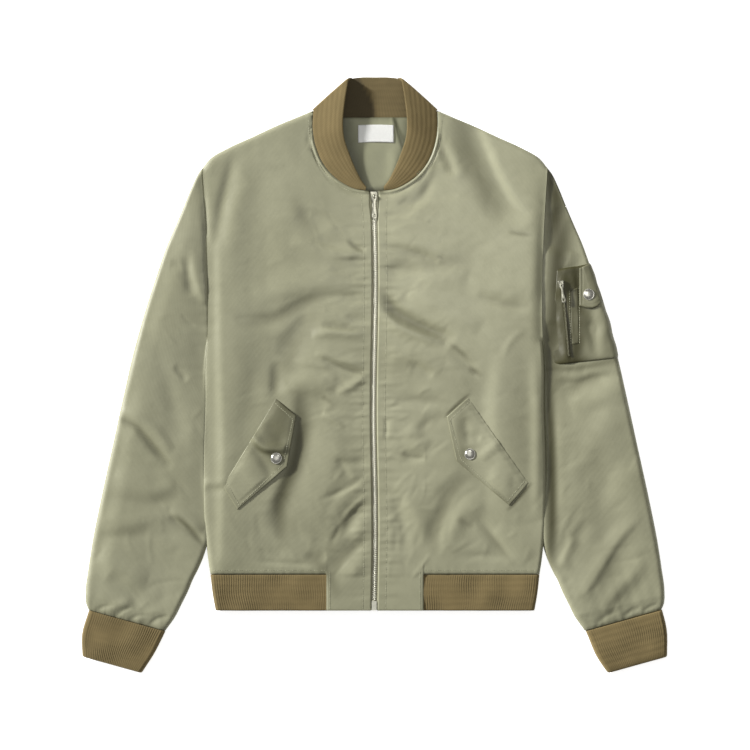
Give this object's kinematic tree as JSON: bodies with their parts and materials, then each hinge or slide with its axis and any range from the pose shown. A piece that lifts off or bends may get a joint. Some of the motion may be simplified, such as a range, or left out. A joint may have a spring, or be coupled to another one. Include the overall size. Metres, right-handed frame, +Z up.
{
  "type": "bomber jacket",
  "caption": "Zip-front bomber jacket laid flat, with rib collar, cuffs and hem, flapped hand pockets and a zipped sleeve pocket.",
  "frame": {"origin": "on the ground under the middle of the jacket's box", "axes": "+Y from the hem to the collar, +X to the wearer's left sleeve, +Z up, out of the jacket's front"},
  "size_m": [0.774, 0.7878, 0.0185],
  "materials": {
    "shell": "satin-faced padded nylon twill, sage green",
    "rib": "matt rib knit, olive brown",
    "lining": "smooth nylon lining, sage green",
    "label": "woven satin, off-white, blank",
    "tape": "woven zip tape, olive",
    "metal": "polished nickel plate"
  },
  "bodies": {
    "jacket": {"back_panel": "shell", "front_right": "shell", "front_left": "shell", "sleeve_right": "shell", "sleeve_left": "shell", "flap_right": "shell", "flap_left": "shell", "sleeve_pocket": "shell", "sleeve_pocket_flap": "shell", "pen_slot": "shell", "collar": "rib", "cuff_right": "rib", "cuff_left": "rib", "hem_rib": "rib", "neck_lining": "lining", "label": "label", "zip_tape_right": "tape", "zip_tape_left": "tape", "zip_chain": "metal", "zip_box": "metal", "zip_slider": "metal", "snap_right": "metal", "snap_left": "metal", "snap_sleeve": "metal", "sleeve_zip_chain": "metal", "sleeve_zip_slider": "metal"},
    "main_pull": {"zip_pull": "metal"},
    "pocket_pull": {"sleeve_zip_pull": "metal"}
  },
  "joints": [
    {"name": "main_pull_swing", "type": "hinge", "parent": "jacket", "child": "main_pull", "pos_m": [-0.00125, 0.236, 0.0109], "axis": [-1, 0, 0], "range_deg": [0, 165]},
    {"name": "pocket_pull_swing", "type": "hinge", "parent": "jacket", "child": "pocket_pull", "pos_m": [0.2454, 0.119, 0.01652], "axis": [-0.9888, -0.1494, 0], "range_deg": [0, 165]}
  ]
}
